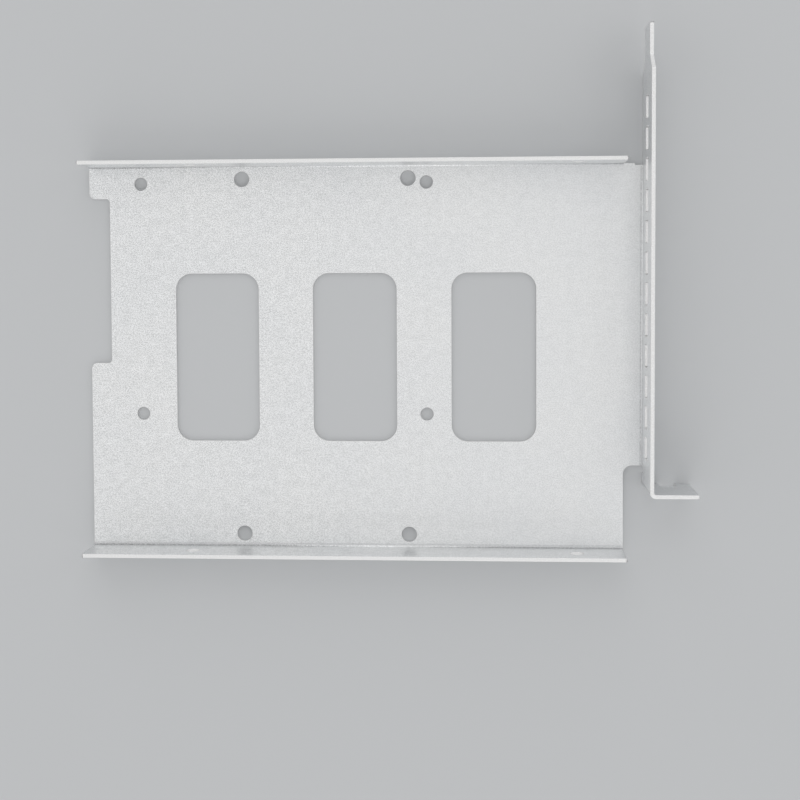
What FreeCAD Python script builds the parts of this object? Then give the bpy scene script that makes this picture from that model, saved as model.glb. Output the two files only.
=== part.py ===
import FreeCAD, Part
import math
import os

# Hard drive mounting bracket: one steel sheet, cut out, drilled and folded.
# A flat plate carries a 3.5-inch or a 2.5-inch drive between two long flanges.
# At its far end the sheet turns up into a slot cover with a tongue and a screw tab.
#
# Frame, in millimetres: the origin is the middle of the four 3.5-inch drive holes,
# on the face that the drive lies on. +X runs along the drive to the slot cover,
# +Y runs across the drive to the tongue, and +Z points out of that face.

# Sheet
sheet_thickness = 1.0
bend_radius = 0.4

# 3.5-inch drive: its connector end is the near end, level with the plate's free end,
# and its far end stands against the slot cover with a small gap
drive_35_width = 101.6
drive_35_length = 147.0
drive_35_hole_from_end = 41.28
drive_35_hole_spacing_x = 44.45
drive_35_hole_spacing_y = 95.25
drive_35_hole_diameter = 4.1
drive_35_side_gap = 0.2
drive_35_end_gap = 0.5

# Holes in both flanges for the side screws of that drive
side_hole_from_end = 28.5
side_hole_spacing = 101.6
side_hole_height = 6.35
side_hole_diameter = 3.6

# 2.5-inch drive, laid beside the +Y flange, its connector end level with the plate's free end
drive_25_width = 69.85
drive_25_hole_from_end = 14.0
drive_25_hole_spacing_x = 76.6
drive_25_hole_spacing_y = 61.72
drive_25_hole_diameter = 3.5
drive_25_side_gap = 0.4

# Plate and flanges: they stop short of the slot cover
plate_length = 142.5
plate_to_cover_gap = 5.0
flange_height = 12.0
flange_corner_radius = 0.3

# Notch in the free end, where the drive's plugs go in
plug_notch_depth = 5.5
plug_notch_length = 44.1
plug_notch_from_flange = 8.4
plug_notch_inner_radius = 1.0
plug_notch_outer_radius = 1.5

# Windows in the plate, in a row whose middle lies beyond the middle of the 2.5-inch holes,
# so that those holes stand between the windows
window_row_from_drive_25_middle = 19.1
window_count = 3
window_width = 22.4
window_height = 45.0
window_pitch = 37.0
window_corner_radius = 4.3

# Slot cover: a blade with a tongue at its top and a screw tab at its foot
bracket_height = 137.4
cover_length = 120.02
cover_width = 18.42
tongue_width = 10.19
tongue_length = 8.0
tongue_taper = 4.0
tongue_corner_radius = 0.3
tab_length = 11.43
tab_corner_radius = 0.8

# Open notch in the screw tab
screw_notch_from_blade = 5.4
screw_notch_width = 4.4
screw_notch_depth = 4.8
screw_notch_corner_radius = 1.0

# Vents in the blade
vent_count = 12
vent_pitch = 8.0
vent_length = 6.0
vent_width = 5.0
vent_corner_radius = 0.3
vent_from_tab = 7.5

# Ledge that joins the plate to the blade, with a relief at each end of its fold
ledge_from_tab = 4.9
ledge_corner_radius = 2.4
ledge_relief_length = 0.5
ledge_relief_width = 2.1
blade_relief_length = 1.9
blade_relief_depth = 3.2
blade_relief_radius = 0.5

# How far a cutting tool runs past the sheet
overrun = 1.0

# Ends of the 3.5-inch drive, and the slot cover's inner face just beyond them
drive_35_near_end = -drive_35_hole_from_end - drive_35_hole_spacing_x / 2
drive_35_far_end = drive_35_near_end + drive_35_length
blade_face = drive_35_far_end + drive_35_end_gap

# Plate and flange faces
plate_back = -sheet_thickness
plate_far_end = blade_face - plate_to_cover_gap
plate_end = plate_far_end - plate_length
plate_middle = (plate_end + plate_far_end) / 2
flange_face = drive_35_width / 2 + drive_35_side_gap
flange_outside = flange_face + sheet_thickness
flange_fold_start = flange_face - bend_radius

# Middle of the 2.5-inch holes
drive_25_middle_x = plate_end + drive_25_hole_from_end + drive_25_hole_spacing_x / 2
drive_25_middle_y = flange_face - drive_25_side_gap - drive_25_width / 2

# Slot cover faces and edges
blade_outside = blade_face + sheet_thickness
blade_fold_start = blade_face - bend_radius
cover_back = plate_back
cover_front = cover_back + cover_width
cover_middle = (cover_back + cover_front) / 2
tongue_tip = bracket_height - flange_outside
tongue_neck = tongue_tip - tongue_length
cover_shoulder = tongue_neck - tongue_taper
tab_outside = tongue_tip - cover_length
tab_face = tab_outside + sheet_thickness
tab_fold_start = tab_face + bend_radius
tab_start = blade_outside + bend_radius
tab_end = blade_outside + tab_length

# Ledge edges: its top is level with the flange's inner face
ledge_top = flange_face
ledge_bottom = tab_face + ledge_from_tab
ledge_fold_top = ledge_top - ledge_relief_length

AXES = {
    "X": FreeCAD.Vector(1, 0, 0),
    "Y": FreeCAD.Vector(0, 1, 0),
    "Z": FreeCAD.Vector(0, 0, 1),
}


def point(plane, level, first, second):
    """A point in the XY, XZ or YZ plane moved to a level along the third axis."""
    if plane == "XY":
        return FreeCAD.Vector(first, second, level)
    if plane == "XZ":
        return FreeCAD.Vector(first, level, second)
    return FreeCAD.Vector(level, first, second)


def rounding(before, at, after, radius):
    """Start, middle and end of the arc that rounds the corner at one point of an outline."""
    back = (before - at).normalize()
    ahead = (after - at).normalize()
    half_angle = back.getAngle(ahead) / 2
    reach = radius / math.tan(half_angle)
    depth = radius / math.sin(half_angle) - radius
    inward = (back + ahead).normalize()
    return at + back * reach, at + inward * depth, at + ahead * reach


def outline(corners, plane, level):
    """A flat face from corners given as (first, second, radius), sharp where the radius is 0."""
    points = [point(plane, level, first, second) for first, second, radius in corners]
    count = len(points)
    arcs = []
    for index, (first, second, radius) in enumerate(corners):
        if radius > 0:
            arcs.append(rounding(points[index - 1], points[index], points[(index + 1) % count], radius))
        else:
            arcs.append((points[index], None, points[index]))
    edges = []
    for index, (start, middle, end) in enumerate(arcs):
        if middle:
            edges.append(Part.Arc(start, middle, end).toShape())
        edges.append(Part.LineSegment(end, arcs[(index + 1) % count][0]).toShape())
    return Part.Face(Part.Wire(edges))


def wall(corners, plane, level, thickness=sheet_thickness):
    """A flat piece of sheet: an outline at a level, carried through the thickness along the third axis."""
    normal = AXES[({"X", "Y", "Z"} - set(plane)).pop()]
    return outline(corners, plane, level).extrude(normal * thickness)


def rectangle(first, second, width, height, radius=0):
    """The corners of a rectangle about its middle."""
    low_first = first - width / 2
    high_first = first + width / 2
    low_second = second - height / 2
    high_second = second + height / 2
    return [
        (low_first, low_second, radius),
        (high_first, low_second, radius),
        (high_first, high_second, radius),
        (low_first, high_second, radius),
    ]


def fold(cut_end, centre, axis):
    """A right-angle fold: the cut end of a wall turned about the fold's axis."""
    return cut_end.revolve(centre, axis, 90)


def plate():
    """The flat plate with its plug notch, and the ledge that runs on to the slot cover's fold."""
    notch_top = flange_face - plug_notch_from_flange
    notch_bottom = notch_top - plug_notch_length
    notch_inside = plate_end + plug_notch_depth
    relief_start = blade_face - ledge_relief_width
    return wall([
        (plate_end, -flange_fold_start, 0),
        (plate_far_end, -flange_fold_start, 0),
        (plate_far_end, ledge_bottom, ledge_corner_radius),
        (blade_fold_start, ledge_bottom, 0),
        (blade_fold_start, ledge_fold_top, 0),
        (relief_start, ledge_fold_top, 0),
        (relief_start, ledge_top, 0),
        (plate_far_end, ledge_top, 0),
        (plate_far_end, flange_fold_start, 0),
        (plate_end, flange_fold_start, 0),
        (plate_end, notch_top, plug_notch_outer_radius),
        (notch_inside, notch_top, plug_notch_inner_radius),
        (notch_inside, notch_bottom, plug_notch_inner_radius),
        (plate_end, notch_bottom, plug_notch_outer_radius),
    ], "XY", plate_back)


def flange(side):
    """One long flange and its fold, on the +Y side (1) or the -Y side (-1)."""
    upright = wall([
        (plate_end, bend_radius, 0),
        (plate_far_end, bend_radius, 0),
        (plate_far_end, flange_height, flange_corner_radius),
        (plate_end, flange_height, flange_corner_radius),
    ], "XZ", min(side * flange_face, side * flange_outside))
    cut_end = outline(
        rectangle(plate_middle, plate_back / 2, plate_length, sheet_thickness),
        "XZ",
        side * flange_fold_start,
    )
    centre = FreeCAD.Vector(0, side * flange_fold_start, bend_radius)
    return upright.fuse(fold(cut_end, centre, AXES["X"] * side))


def blade():
    """The slot cover's blade with its tongue, and the relief below the ledge."""
    relief_bottom = ledge_bottom - blade_relief_length
    relief_front = cover_back + blade_relief_depth
    tongue_back = cover_middle - tongue_width / 2
    tongue_front = cover_middle + tongue_width / 2
    return wall([
        (tab_fold_start, cover_back, 0),
        (relief_bottom, cover_back, 0),
        (relief_bottom, relief_front, blade_relief_radius),
        (ledge_bottom, relief_front, 0),
        (ledge_bottom, bend_radius, 0),
        (ledge_fold_top, bend_radius, 0),
        (ledge_fold_top, cover_back, 0),
        (cover_shoulder, cover_back, 0),
        (tongue_neck, tongue_back, 0),
        (tongue_tip, tongue_back, tongue_corner_radius),
        (tongue_tip, tongue_front, tongue_corner_radius),
        (tongue_neck, tongue_front, 0),
        (cover_shoulder, cover_front, 0),
        (tab_fold_start, cover_front, 0),
    ], "YZ", blade_face)


def blade_fold():
    """The fold between the ledge and the blade."""
    cut_end = outline([
        (ledge_bottom, plate_back, 0),
        (ledge_fold_top, plate_back, 0),
        (ledge_fold_top, 0, 0),
        (ledge_bottom, 0, 0),
    ], "YZ", blade_fold_start)
    centre = FreeCAD.Vector(blade_fold_start, 0, bend_radius)
    return fold(cut_end, centre, -AXES["Y"])


def tab():
    """The screw tab folded out from the blade's foot, with its open notch."""
    cut_end = outline([
        (blade_face, cover_back, 0),
        (blade_outside, cover_back, 0),
        (blade_outside, cover_front, 0),
        (blade_face, cover_front, 0),
    ], "XZ", tab_fold_start)
    centre = FreeCAD.Vector(tab_start, tab_fold_start, 0)
    notch_middle = blade_outside + screw_notch_from_blade
    notch_start = notch_middle - screw_notch_width / 2
    notch_end = notch_middle + screw_notch_width / 2
    notch_bottom = cover_back + screw_notch_depth
    level = wall([
        (tab_start, cover_back, 0),
        (notch_start, cover_back, 0),
        (notch_start, notch_bottom, screw_notch_corner_radius),
        (notch_end, notch_bottom, screw_notch_corner_radius),
        (notch_end, cover_back, 0),
        (tab_end, cover_back, tab_corner_radius),
        (tab_end, cover_front, tab_corner_radius),
        (tab_start, cover_front, 0),
    ], "XZ", tab_outside)
    return level.fuse(fold(cut_end, centre, AXES["Z"]))


def drill(diameter, start, direction):
    """A drill that passes through one thickness of sheet from just before it to just past it."""
    axis = AXES[direction]
    return Part.makeCylinder(diameter / 2, sheet_thickness + 2 * overrun, start - axis * overrun, axis)


def plate_drills(diameter, middle_x, middle_y, spacing_x, spacing_y):
    """Four drills through the plate at the corners of a drive's hole pattern."""
    return [
        drill(
            diameter,
            FreeCAD.Vector(middle_x + side_x * spacing_x / 2, middle_y + side_y * spacing_y / 2, plate_back),
            "Z",
        )
        for side_x in (-1, 1)
        for side_y in (-1, 1)
    ]


def drive_drills():
    """The drills for both drives' bottom screws and for the larger drive's side screws."""
    drills = plate_drills(
        drive_35_hole_diameter, 0, 0, drive_35_hole_spacing_x, drive_35_hole_spacing_y
    )
    drills += plate_drills(
        drive_25_hole_diameter,
        drive_25_middle_x,
        drive_25_middle_y,
        drive_25_hole_spacing_x,
        drive_25_hole_spacing_y,
    )
    for flange_low_face in (flange_face, -flange_outside):
        for along in (0, side_hole_spacing):
            start = FreeCAD.Vector(
                drive_35_near_end + side_hole_from_end + along, flange_low_face, side_hole_height
            )
            drills.append(drill(side_hole_diameter, start, "Y"))
    return drills


def windows():
    """The punches for the row of windows, centred across the larger drive."""
    row_middle = drive_25_middle_x + window_row_from_drive_25_middle
    first = row_middle - window_pitch * (window_count - 1) / 2
    return [
        wall(
            rectangle(first + number * window_pitch, 0, window_width, window_height, window_corner_radius),
            "XY",
            plate_back - overrun,
            sheet_thickness + 2 * overrun,
        )
        for number in range(window_count)
    ]


def vents():
    """The punches for the row of vents along the middle of the blade."""
    first = tab_face + vent_from_tab + vent_length / 2
    return [
        wall(
            rectangle(first + number * vent_pitch, cover_middle, vent_length, vent_width, vent_corner_radius),
            "YZ",
            blade_face - overrun,
            sheet_thickness + 2 * overrun,
        )
        for number in range(vent_count)
    ]


def mounting_bracket():
    """The whole folded sheet as one solid."""
    folded = plate().fuse([flange(1), flange(-1), blade_fold(), blade(), tab()])
    punched = folded.cut(drive_drills() + windows() + vents())
    return punched.removeSplitter()


bracket = mounting_bracket()
if not bracket.isValid() or len(bracket.Solids) != 1:
    raise ValueError("the folded sheet is not one valid solid")
os.makedirs("parts", exist_ok=True)
bracket.Solids[0].exportStep("parts/mounting_bracket.step")
box = bracket.BoundBox
print("size %.2f x %.2f x %.2f mm" % (box.XLength, box.YLength, box.ZLength))
print("volume %.1f mm3" % bracket.Volume)
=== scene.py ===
"""Drive mounting bracket: a folded steel sheet with its finish, on a pale floor in soft light."""

import math

import bmesh
import bpy
from bpy.props import FloatProperty, FloatVectorProperty, IntProperty, PointerProperty
from mathutils import Matrix, Quaternion, Vector
from mathutils.geometry import intersect_point_line


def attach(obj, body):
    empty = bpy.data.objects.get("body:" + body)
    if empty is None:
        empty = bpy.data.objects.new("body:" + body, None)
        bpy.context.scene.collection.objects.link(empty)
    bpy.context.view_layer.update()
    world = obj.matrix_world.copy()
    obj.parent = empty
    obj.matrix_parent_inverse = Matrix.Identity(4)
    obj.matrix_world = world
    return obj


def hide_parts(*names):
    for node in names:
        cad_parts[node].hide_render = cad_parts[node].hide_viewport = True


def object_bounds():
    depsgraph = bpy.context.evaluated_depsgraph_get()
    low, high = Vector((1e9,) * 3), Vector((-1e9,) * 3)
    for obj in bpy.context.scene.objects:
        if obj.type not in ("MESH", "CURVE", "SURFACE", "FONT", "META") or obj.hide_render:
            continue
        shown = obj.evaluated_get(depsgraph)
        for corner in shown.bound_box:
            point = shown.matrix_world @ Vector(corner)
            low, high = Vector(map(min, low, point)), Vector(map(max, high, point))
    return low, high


bl_info = {
    "name": "Drive Mounting Bracket",
    "version": (1, 0, 0),
    "blender": (4, 5, 0),
    "location": "3D Viewport > Sidebar > Bracket",
    "description": "Finishes the folded steel sheet of a drive bracket and sets it on a stage",
    "category": "Object",
}

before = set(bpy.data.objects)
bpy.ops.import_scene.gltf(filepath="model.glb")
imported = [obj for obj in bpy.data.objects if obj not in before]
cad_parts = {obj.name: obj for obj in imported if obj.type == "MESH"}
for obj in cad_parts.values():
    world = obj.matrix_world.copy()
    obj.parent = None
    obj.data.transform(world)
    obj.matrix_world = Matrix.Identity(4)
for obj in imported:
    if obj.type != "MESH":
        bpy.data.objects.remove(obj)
cad_low, cad_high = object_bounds()

NODE = "mounting_bracket"
PIECE = "folded_sheet"
BODY = "root"
MILLIMETRE = 0.001

# The floor lies this far below the sheet, so that the two don't share a plane
FLOOR_GAP = 0.00005

# The inner edge of each fold, where a press leaves its mark and painted shade darkens the crease,
# in millimetres from the origin
FLANGE_FOLD = 50.36
COVER_FOLD = 83.55
TAB_FOLD = -33.2

# Where the plate ends and the slot cover starts, and a distance that no mark reaches
COVER_START = (80.0, 82.0)
FAR_AWAY = 9.0

# The dull line along each fold, partly a press mark and partly painted shade in the crease, fades
# between these shares of its half width. On a flange it is weaker than on the slot cover, and on
# the upper flange, where painted light stands for the brighter light there, it has only this share
# of the lower one's strength
FOLD_SHADE_AND_MARK_FADE = (0.4, 1.7)
FLANGE_MARK_AND_SHADE = 0.7
UPPER_FLANGE_LIT_SHARE = 0.15

# The distance between pits of the coat, and the size of one, in millimetres
PIT_SPACING = 4.5
PIT_RADIUS = 0.17

# The grain is strong at the free end and weak at the slot cover, and fades between these places
GRAIN_STRENGTH = (1.35, 0.5)
GRAIN_FADE = (-75.0, 85.0)

# What soft clouds leave of the coat's colour, and what the pits and the dull fold lines, partly
# press marks and partly painted shade, leave of it
CLOUD_TINT = (0.955, 0.962, 0.975)
FOLD_SHADE_AND_MARK_TINT = (0.72, 0.72, 0.725)

# How far both finishes behave as bare metal, and the depth of each one's relief, in metres
METALLIC = 0.85
COAT_RELIEF = 0.000012
CUT_RELIEF = 0.00001

# The sockets of a Mix node that mixes two colours
MIX_FACTOR, MIX_FIRST, MIX_SECOND, MIX_RESULT = 0, 6, 7, 2

# Corners closer than this are one, and faces that turn less than this are one flat face
SAME_PLACE = 1e-6
FLAT_ANGLE = math.radians(0.3)

# A cut edge stays sharp where another meets it at less than this angle, the wider one for a
# stub shorter than the rounding, or passes within this many widths of the rounding
NARROW_CORNER = math.radians(50)
STUB_CORNER = math.radians(135)
ROOM_TO_ROUND = 1.2

# Four wide lamps stand round the bracket and one hangs above it, in metres
LAMP_DISTANCE = 2.4
LAMP_HEIGHT = 1.4
LAMP_SIZE = 3.0
TOP_LAMP_PLACE = (0.0, 0.2, 2.6)
TOP_LAMP_SIZE = 2.4

# The camera: its sensor in millimetres, its shift, and the nearest and farthest it sees in metres
SENSOR_WIDTH = 36.0
SHIFT = (-0.0006, -0.0931)
CLIP = (0.01, 20.0)

# The measured view: the turn from the bracket to the camera, as an axis as long as its angle,
# a point on the plate, and where the camera has that point before it, in metres
TURN = Vector((0.04654, -0.05992, 0.00309))
PIVOT = Vector((0.017775, 0.002625, 0.0))
PIVOT_SEEN = Vector((-0.00229957, -0.00584967, -0.35729945))


class BracketSizes(bpy.types.PropertyGroup):
    """Sizes of the sheet's finish."""

    edge_rounding: FloatProperty(
        name="Edge rounding",
        description="Width of the rounding that the punch leaves along every cut edge",
        default=0.0001,
        unit="LENGTH",
        subtype="DISTANCE",
    )
    edge_segments: IntProperty(
        name="Edge segments",
        description="Faces across the rounding of a cut edge",
        default=2,
    )
    cut_angle: FloatProperty(
        name="Cut angle",
        description="An edge sharper than this parts a cut side from the coated skin",
        default=math.radians(40),
        subtype="ANGLE",
    )
    largest_cut_side: FloatProperty(
        name="Largest cut side",
        description="A smooth run of faces with a smaller area than this is a cut side",
        default=0.002,
        precision=5,
        unit="AREA",
    )
    grain_size: FloatProperty(
        name="Grain size",
        description="Distance between the light grains of the zinc coat",
        default=0.0002,
        precision=5,
        unit="LENGTH",
        subtype="DISTANCE",
    )
    # The dull line along a fold is partly a press mark and partly painted shade in the crease
    press_mark_and_shade_width: FloatProperty(
        name="Press mark width",
        description="Width of the dull line that the press leaves along a fold",
        default=0.00045,
        precision=5,
        unit="LENGTH",
        subtype="DISTANCE",
    )


class BracketColours(bpy.types.PropertyGroup):
    """Colours of the sheet and the stage."""

    zinc: FloatVectorProperty(
        name="Zinc",
        description="The coated skin of the sheet",
        default=(0.97, 0.975, 0.98),
        subtype="COLOR",
        size=3,
    )
    zinc_grain: FloatVectorProperty(
        name="Zinc grain",
        description="The darker grains of the coat",
        default=(0.63, 0.64, 0.64),
        subtype="COLOR",
        size=3,
    )
    bare_steel: FloatVectorProperty(
        name="Bare steel",
        description="The cut sides and rubbed edges of the sheet",
        default=(0.78, 0.78, 0.775),
        subtype="COLOR",
        size=3,
    )
    floor: FloatVectorProperty(
        name="Floor",
        description="The pale floor below the bracket",
        default=(0.52, 0.53, 0.54),
        subtype="COLOR",
        size=3,
    )


class BracketStage(bpy.types.PropertyGroup):
    """Floor, lamps and camera."""

    floor_size: FloatProperty(
        name="Floor size",
        description="Side of the square floor",
        default=6.0,
        unit="LENGTH",
        subtype="DISTANCE",
    )
    near_power: FloatProperty(
        name="Near power",
        description="Power of the wide lamp on the screw tab's side",
        default=19.5,
        unit="POWER",
    )
    far_power: FloatProperty(
        name="Far power",
        description="Power of the wide lamp on the tongue's side",
        default=19.5,
        unit="POWER",
    )
    end_power: FloatProperty(
        name="End power",
        description="Power of the wide lamp beyond the plate's free end",
        default=11.0,
        unit="POWER",
    )
    cover_power: FloatProperty(
        name="Cover power",
        description="Power of the wide lamp on the slot cover's side",
        default=16.5,
        unit="POWER",
    )
    top_power: FloatProperty(
        name="Top power",
        description="Power of the lamp straight above the bracket",
        default=5.0,
        unit="POWER",
    )
    surroundings: FloatProperty(
        name="Surroundings",
        description="Brightness of the room round the bracket",
        default=0.6,
    )
    focal_length: FloatProperty(
        name="Focal length",
        description="Focal length of the camera for a 36 mm wide picture",
        default=60.3,
        subtype="DISTANCE_CAMERA",
        unit="CAMERA",
    )


class Value:
    """A number that a socket gives. Arithmetic on it adds Math nodes to the same tree."""

    def __init__(self, tree, socket):
        self.tree = tree
        self.socket = socket

    def maths(self, operation, *terms):
        return self.tree.add("ShaderNodeMath", {"operation": operation}, dict(enumerate(terms)))

    def __add__(self, other):
        return self.maths("ADD", self, other)

    def __sub__(self, other):
        return self.maths("SUBTRACT", self, other)

    def __rsub__(self, other):
        return self.maths("SUBTRACT", other, self)

    def __mul__(self, other):
        return self.maths("MULTIPLY", self, other)

    def __abs__(self):
        return self.maths("ABSOLUTE", self)

    def smaller(self, other):
        return self.maths("MINIMUM", self, other)

    def larger(self, other):
        return self.maths("MAXIMUM", self, other)

    __radd__ = __add__
    __rmul__ = __mul__


class NodeTree:
    """Adds nodes to a shader or geometry tree."""

    def __init__(self, tree):
        self.tree = tree
        tree.nodes.clear()

    def add(self, kind, settings=None, sockets=None, output=0):
        """Adds a node: its settings, then a value or a link for each socket. Gives one output."""
        node = self.tree.nodes.new(kind)
        for name, value in (settings or {}).items():
            setattr(node, name, value)
        for key, value in (sockets or {}).items():
            if isinstance(value, Value):
                self.tree.links.new(value.socket, node.inputs[key])
            else:
                node.inputs[key].default_value = value
        return Value(self, node.outputs[output]) if len(node.outputs) else None


def colour(values):
    """A colour with full opacity."""
    return (*values, 1.0)


class Finish(NodeTree):
    """A material whose patterns are laid out in the bracket's own millimetres."""

    def __init__(self, name):
        self.material = bpy.data.materials.new(name)
        self.material.use_nodes = True
        super().__init__(self.material.node_tree)
        place = self.add("ShaderNodeTexCoord", output="Object")
        self.place = self.add(
            "ShaderNodeVectorMath",
            {"operation": "SCALE"},
            {0: place, "Scale": 1 / MILLIMETRE},
        )

    def stretched(self, stretch):
        """The place on the bracket with each axis stretched."""
        return self.add("ShaderNodeMapping", None, {"Vector": self.place, "Scale": stretch})

    def noise(self, size, detail=2.0, roughness=0.5, place=None):
        """Noise from 0 to 1 whose lumps are about this many millimetres apart."""
        return self.add(
            "ShaderNodeTexNoise",
            {"noise_dimensions": "3D"},
            {
                "Vector": place or self.place,
                "Scale": 1 / size,
                "Detail": detail,
                "Roughness": roughness,
            },
            "Fac",
        )

    def ramp(self, value, low, high, to_low=0.0, to_high=1.0):
        """The value carried smoothly from one range to another, and held at its ends."""
        return self.add(
            "ShaderNodeMapRange",
            {"interpolation_type": "SMOOTHSTEP", "clamp": True},
            {
                "Value": value,
                "From Min": low,
                "From Max": high,
                "To Min": to_low,
                "To Max": to_high,
            },
        )

    def specks(self, spacing, radius):
        """Rare round specks: 1 at the middle of each and 0 between them."""
        reach = self.add(
            "ShaderNodeTexVoronoi",
            {"voronoi_dimensions": "3D", "feature": "F1"},
            {"Vector": self.place, "Scale": 1 / spacing},
            "Distance",
        )
        return self.ramp(reach * spacing, 0.3 * radius, radius, 1.0, 0.0)

    def mix(self, factor, first, second, blend="MIX"):
        """Two colours mixed by a factor."""
        return self.add(
            "ShaderNodeMix",
            {"data_type": "RGBA", "blend_type": blend, "clamp_factor": True},
            {MIX_FACTOR: factor, MIX_FIRST: first, MIX_SECOND: second},
            MIX_RESULT,
        )

    def tinted(self, factor, tone, tint):
        """A tone multiplied by a tint as far as the factor says."""
        return self.mix(factor, tone, self.mix(1.0, tone, colour(tint), "MULTIPLY"))

    def axes(self):
        """The three coordinates of the place."""
        split = self.add("ShaderNodeSeparateXYZ", None, {"Vector": self.place}).socket.node
        return [Value(self, socket) for socket in split.outputs]

    def bump(self, height, distance, strength):
        """A normal raised by a height from 0 to 1 over a distance in metres."""
        return self.add(
            "ShaderNodeBump",
            None,
            {"Height": height, "Distance": distance, "Strength": strength},
        )

    def surface(self, sockets):
        """The shader, with a value or a link for each socket, and the output."""
        shader = self.add("ShaderNodeBsdfPrincipled", None, sockets)
        self.add("ShaderNodeOutputMaterial", None, {"Surface": shader})
        return self.material


def press_marks_and_fold_shade(finish, across, along, half_width):
    """Where the folds get their dull line, partly a press mark and partly painted shade in the
    crease: 1 on each line, less on the flanges, least on the upper flange as painted light, and 0
    elsewhere.
    """
    line = [share * half_width for share in FOLD_SHADE_AND_MARK_FADE]
    on_cover = finish.ramp(across, *COVER_START)
    near_flange_fold = abs(abs(along) - FLANGE_FOLD) + on_cover * FAR_AWAY
    near_cover_fold = abs(across - COVER_FOLD)
    near_tab_fold = abs(along - TAB_FOLD) + (1 - on_cover) * FAR_AWAY
    cover_mark_and_shade = finish.ramp(near_cover_fold.smaller(near_tab_fold), *line, 1.0, 0.0)
    flange_mark_and_shade = finish.ramp(near_flange_fold, *line, FLANGE_MARK_AND_SHADE, 0.0)
    # Painted light: the fold line is mostly left out on the upper flange, where the light falls
    # brighter
    flange_mark_and_shade = flange_mark_and_shade * finish.ramp(along, -1.0, 1.0, 1.0, UPPER_FLANGE_LIT_SHARE)
    return cover_mark_and_shade.larger(flange_mark_and_shade)


def zinc_coat(sizes, colours):
    """The matt zinc coat: grain, soft clouds, rolling lines, pits and a dull line at each fold,
    partly a press mark and partly painted shade in the crease.
    """
    finish = Finish("zinc coat")
    across, along, _ = finish.axes()
    grain_mm = sizes.grain_size / MILLIMETRE
    grain = finish.noise(grain_mm, 0.5, 0.6)
    coarse_grain = finish.noise(grain_mm * 2.7, 1.0, 0.5)
    mottle = finish.noise(2.2, 2.0, 0.6)
    clouds = finish.noise(31.0, 3.0, 0.5)
    rolling = finish.noise(1.0, 3.0, 0.6, finish.stretched((0.03, 1.6, 1.6)))
    pits = finish.specks(PIT_SPACING, PIT_RADIUS)

    # The three grains in their shares, turned from dark to light over a narrow range
    speckle = finish.ramp(grain * 0.68 + coarse_grain * 0.2 + mottle * 0.12, 0.39, 0.61)
    speckle = 0.5 + (speckle - 0.5) * finish.ramp(across, *GRAIN_FADE, *GRAIN_STRENGTH)
    # The dull fold lines, partly press marks and partly painted shade in the crease, broken up by
    # the grain
    mark = press_marks_and_fold_shade(finish, across, along, sizes.press_mark_and_shade_width / MILLIMETRE / 2)
    mark = mark * finish.ramp(grain * 0.4 + coarse_grain * 0.6, 0.4, 0.56, 0.15, 1.0)

    tone = finish.mix(speckle, colour(colours.zinc_grain), colour(colours.zinc))
    tone = finish.tinted(finish.ramp(clouds, 0.3, 0.7, 0.0, 0.55), tone, CLOUD_TINT)
    # Darkens the pits and the fold lines; the fold lines are partly painted shade in the crease
    tone = finish.tinted(mark + pits * 0.7, tone, FOLD_SHADE_AND_MARK_TINT)
    roughness = 0.41 + (0.5 - speckle) * 0.16 + mark * 0.1
    roughness = roughness + (clouds - 0.5) * 0.12 + (rolling - 0.5) * 0.06
    height = speckle * 0.6 + rolling * 0.25 + coarse_grain * 0.3 - mark * 0.8 - pits
    return finish.surface(
        {
            "Base Color": tone,
            "Roughness": roughness,
            "Metallic": METALLIC,
            "Normal": finish.bump(height, COAT_RELIEF, 1.0),
        }
    )


def bare_cut(sizes, colours):
    """The bare steel of the cut sides and their rounded edges, with the marks of the shear."""
    finish = Finish("bare cut steel")
    grain = finish.noise(sizes.grain_size / MILLIMETRE, 2.0, 0.6)
    streaks = finish.noise(0.16, 1.0, 0.5, finish.stretched((1.0, 1.0, 0.2)))
    bright = finish.ramp(streaks, 0.42, 0.77)
    return finish.surface(
        {
            "Base Color": finish.mix(bright, colour(colours.bare_steel), colour(colours.zinc)),
            "Roughness": 0.56 + (grain - 0.5) * 0.12 + (streaks - 0.5) * 0.1,
            "Metallic": METALLIC,
            "Normal": finish.bump(streaks * 0.7 + grain * 0.3, CUT_RELIEF, 0.5),
        }
    )


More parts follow.
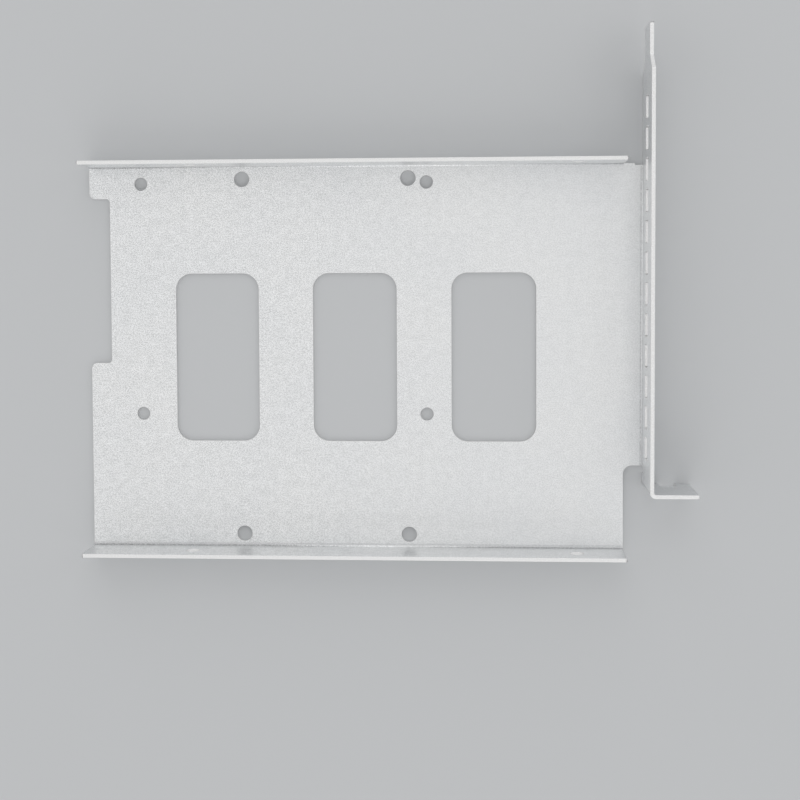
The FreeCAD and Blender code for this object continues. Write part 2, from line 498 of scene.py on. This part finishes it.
def part_skin_from_cuts():
    """A geometry tree that gives a folded sheet its two finishes.

    Sharp edges part the faces into smooth runs. The two skins are far larger than any cut side,
    so a run with a small area is a cut side.
    """
    tree = bpy.data.node_groups.new("skin and cut sides", "GeometryNodeTree")
    for name, kind in (
        ("Geometry", "NodeSocketGeometry"),
        ("Cut angle", "NodeSocketFloat"),
        ("Largest cut side", "NodeSocketFloat"),
        ("Skin finish", "NodeSocketMaterial"),
        ("Cut finish", "NodeSocketMaterial"),
    ):
        tree.interface.new_socket(name, in_out="INPUT", socket_type=kind)
    tree.interface.new_socket("Geometry", in_out="OUTPUT", socket_type="NodeSocketGeometry")
    nodes = NodeTree(tree)
    group = nodes.add("NodeGroupInput").socket.node
    given = {socket.name: Value(nodes, socket) for socket in group.outputs}
    edge_angle = nodes.add("GeometryNodeInputMeshEdgeAngle")
    sharp = nodes.add(
        "FunctionNodeCompare",
        {"data_type": "FLOAT", "operation": "GREATER_THAN"},
        {"A": edge_angle, "B": given["Cut angle"]},
    )
    run = nodes.add("GeometryNodeEdgesToFaceGroups", None, {"Boundary Edges": sharp})
    area = nodes.add("GeometryNodeInputMeshFaceArea")
    run_area = nodes.add(
        "GeometryNodeAccumulateField",
        {"data_type": "FLOAT", "domain": "FACE"},
        {"Value": area, "Group ID": run},
        "Total",
    )
    cut_side = nodes.add(
        "FunctionNodeCompare",
        {"data_type": "FLOAT", "operation": "LESS_THAN"},
        {"A": run_area, "B": given["Largest cut side"]},
    )
    real = nodes.add("GeometryNodeRealizeInstances", None, {"Geometry": given["Geometry"]})
    skin = nodes.add(
        "GeometryNodeSetMaterial", None, {"Geometry": real, "Material": given["Skin finish"]}
    )
    both = nodes.add(
        "GeometryNodeSetMaterial",
        None,
        {"Geometry": skin, "Selection": cut_side, "Material": given["Cut finish"]},
    )
    nodes.add("NodeGroupOutput", None, {"Geometry": both})
    return tree


def crowds(other, edge, rounding):
    """Whether another sharp edge leaves no room to round this one."""
    shared = set(edge.verts) & set(other.verts)
    if shared:
        corner = shared.pop()
        way = edge.other_vert(corner).co - corner.co
        turn = way.angle(other.other_vert(corner).co - corner.co)
        return turn < (STUB_CORNER if edge.calc_length() < rounding else NARROW_CORNER)
    middle = (edge.verts[0].co + edge.verts[1].co) / 2
    start, end = (corner.co for corner in other.verts)
    along = intersect_point_line(middle, start, end)[1]
    nearest = start.lerp(end, min(max(along, 0.0), 1.0))
    return (middle - nearest).length < ROOM_TO_ROUND * rounding


def mark_rounded_edges(sheet, cut_angle, rounding):
    """Marks the edges to round: all the sharp ones that no other sharp edge crowds."""
    weight = sheet.edges.layers.float.new("bevel_weight_edge")
    sharp = {edge for edge in sheet.edges if edge.calc_face_angle(0.0) > cut_angle}
    for edge in sharp:
        beside = {other for face in edge.link_faces for other in face.edges}
        beside.update(other for corner in edge.verts for other in corner.link_edges)
        beside &= sharp - {edge}
        edge[weight] = 0.0 if any(crowds(other, edge, rounding) for other in beside) else 1.0


def copy_of_sheet(cut_angle, rounding):
    """A copy of the bracket's solid, its loose triangles merged into whole faces."""
    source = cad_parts[NODE]
    sheet = bmesh.new()
    sheet.from_mesh(source.data)
    bmesh.ops.remove_doubles(sheet, verts=sheet.verts, dist=SAME_PLACE)
    bmesh.ops.dissolve_limit(
        sheet,
        angle_limit=FLAT_ANGLE,
        verts=sheet.verts,
        edges=sheet.edges,
        delimit={"NORMAL"},
    )
    bmesh.ops.recalc_face_normals(sheet, faces=sheet.faces)
    mark_rounded_edges(sheet, cut_angle, rounding)
    mesh = bpy.data.meshes.new(PIECE)
    sheet.to_mesh(mesh)
    sheet.free()
    mesh.materials.clear()
    mesh.shade_smooth()
    piece = bpy.data.objects.new(PIECE, mesh)
    bpy.context.scene.collection.objects.link(piece)
    return piece


def run_tree(piece, tree, inputs):
    """Runs a geometry tree on a piece and keeps what it makes as the piece's plain mesh."""
    modifier = piece.modifiers.new(tree.name, "NODES")
    modifier.node_group = tree
    for socket in tree.interface.items_tree:
        if socket.in_out == "INPUT" and socket.name in inputs:
            modifier[socket.identifier] = inputs[socket.name]
    bpy.context.view_layer.update()
    graph = bpy.context.evaluated_depsgraph_get()
    made = bpy.data.meshes.new_from_object(piece.evaluated_get(graph))
    piece.modifiers.remove(modifier)
    piece.data = made
    made.name = piece.name


class BRACKET_OT_sheet(bpy.types.Operator):
    """Makes the folded sheet with its zinc coat, its bare cut sides and its rounded edges"""

    bl_idname = "bracket.sheet"
    bl_label = "Folded Sheet"

    def execute(self, context):
        sizes = context.scene.bracket_sizes
        colours = context.scene.bracket_colours
        skin = zinc_coat(sizes, colours)
        cut = bare_cut(sizes, colours)
        piece = copy_of_sheet(sizes.cut_angle, sizes.edge_rounding)
        run_tree(
            piece,
            part_skin_from_cuts(),
            {
                "Cut angle": sizes.cut_angle,
                "Largest cut side": sizes.largest_cut_side,
                "Skin finish": skin,
                "Cut finish": cut,
            },
        )
        materials = list(piece.data.materials)
        if skin not in materials or cut not in materials:
            raise RuntimeError("the sheet needs both a skin and cut sides")
        rounding = piece.modifiers.new("edge rounding", "BEVEL")
        rounding.width = sizes.edge_rounding
        rounding.segments = sizes.edge_segments
        rounding.limit_method = "WEIGHT"
        rounding.use_clamp_overlap = False
        rounding.material = materials.index(cut)
        evening = piece.modifiers.new("even shading", "WEIGHTED_NORMAL")
        evening.mode = "FACE_AREA"
        evening.keep_sharp = True
        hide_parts(NODE)
        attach(piece, BODY)
        return {"FINISHED"}


def soft_lamp(name, place, target, size, power):
    """A square lamp that faces a point."""
    lamp = bpy.data.lights.new(name, "AREA")
    lamp.shape = "SQUARE"
    lamp.size = size
    lamp.energy = power
    shown = bpy.data.objects.new(name, lamp)
    shown.location = place
    shown.rotation_euler = (Vector(target) - Vector(place)).to_track_quat("-Z", "Y").to_euler()
    shown.visible_camera = False
    bpy.context.scene.collection.objects.link(shown)


def room(brightness):
    """Plain surroundings of one brightness."""
    world = bpy.data.worlds.new("room")
    world.use_nodes = True
    nodes = NodeTree(world.node_tree)
    light = nodes.add(
        "ShaderNodeBackground", None, {"Color": (1.0, 1.0, 1.0, 1.0), "Strength": brightness}
    )
    nodes.add("ShaderNodeOutputWorld", None, {"Surface": light})
    bpy.context.scene.world = world


def pale_floor(size, tint):
    """The floor just below the sheet."""
    half = size / 2
    level = cad_low.z - FLOOR_GAP
    around = ((-half, -half), (half, -half), (half, half), (-half, half))
    mesh = bpy.data.meshes.new("floor")
    mesh.from_pydata([(x, y, level) for x, y in around], [], [(0, 1, 2, 3)])
    finish = Finish("floor")
    finish.surface({"Base Color": colour(tint), "Roughness": 0.9, "Specular IOR Level": 0.2})
    mesh.materials.append(finish.material)
    floor = bpy.data.objects.new("floor", mesh)
    bpy.context.scene.collection.objects.link(floor)


def camera_in_place(focal_length):
    """The camera at the measured view."""
    camera = bpy.data.cameras.new("camera")
    camera.sensor_width = SENSOR_WIDTH
    camera.lens = focal_length
    camera.shift_x, camera.shift_y = SHIFT
    camera.clip_start, camera.clip_end = CLIP
    facing = Quaternion(TURN.normalized(), TURN.length).to_matrix().transposed()
    shown = bpy.data.objects.new("camera", camera)
    shown.matrix_world = Matrix.Translation(PIVOT - facing @ PIVOT_SEEN) @ facing.to_4x4()
    bpy.context.scene.collection.objects.link(shown)
    bpy.context.scene.camera = shown


class BRACKET_OT_stage(bpy.types.Operator):
    """Makes the pale floor, the soft lamps and the camera"""

    bl_idname = "bracket.stage"
    bl_label = "Stage"

    def execute(self, context):
        stage = context.scene.bracket_stage
        pale_floor(stage.floor_size, context.scene.bracket_colours.floor)
        middle = (cad_low + cad_high) / 2
        for name, x, y, power in (
            ("near lamp", 0.0, -LAMP_DISTANCE, stage.near_power),
            ("far lamp", 0.0, LAMP_DISTANCE, stage.far_power),
            ("end lamp", -LAMP_DISTANCE, 0.0, stage.end_power),
            ("cover lamp", LAMP_DISTANCE, 0.0, stage.cover_power),
        ):
            soft_lamp(name, (x, y, LAMP_HEIGHT), middle, LAMP_SIZE, power)
        soft_lamp("top lamp", TOP_LAMP_PLACE, middle, TOP_LAMP_SIZE, stage.top_power)
        room(stage.surroundings)
        camera_in_place(stage.focal_length)
        context.scene.view_settings.view_transform = "Standard"
        return {"FINISHED"}


class BRACKET_PT_panel(bpy.types.Panel):
    """Lists what makes the bracket."""

    bl_idname = "BRACKET_PT_panel"
    bl_label = "Drive Mounting Bracket"
    bl_space_type = "VIEW_3D"
    bl_region_type = "UI"
    bl_category = "Bracket"

    def draw(self, context):
        layout = self.layout
        for group, operator in (
            (context.scene.bracket_sizes, BRACKET_OT_sheet),
            (context.scene.bracket_colours, None),
            (context.scene.bracket_stage, BRACKET_OT_stage),
        ):
            for name in group.bl_rna.properties.keys():
                if name not in ("rna_type", "name"):
                    layout.prop(group, name)
            if operator:
                layout.operator(operator.bl_idname)


CLASSES = (
    BracketSizes,
    BracketColours,
    BracketStage,
    BRACKET_OT_sheet,
    BRACKET_OT_stage,
    BRACKET_PT_panel,
)
GROUPS = {
    "bracket_sizes": BracketSizes,
    "bracket_colours": BracketColours,
    "bracket_stage": BracketStage,
}


def register():
    for each in CLASSES:
        bpy.utils.register_class(each)
    for name, group in GROUPS.items():
        setattr(bpy.types.Scene, name, PointerProperty(type=group))


def unregister():
    for name in GROUPS:
        delattr(bpy.types.Scene, name)
    for each in reversed(CLASSES):
        bpy.utils.unregister_class(each)


def main():
    register()
    bpy.ops.bracket.sheet()
    bpy.ops.bracket.stage()


if __name__ == "__main__":
    main()
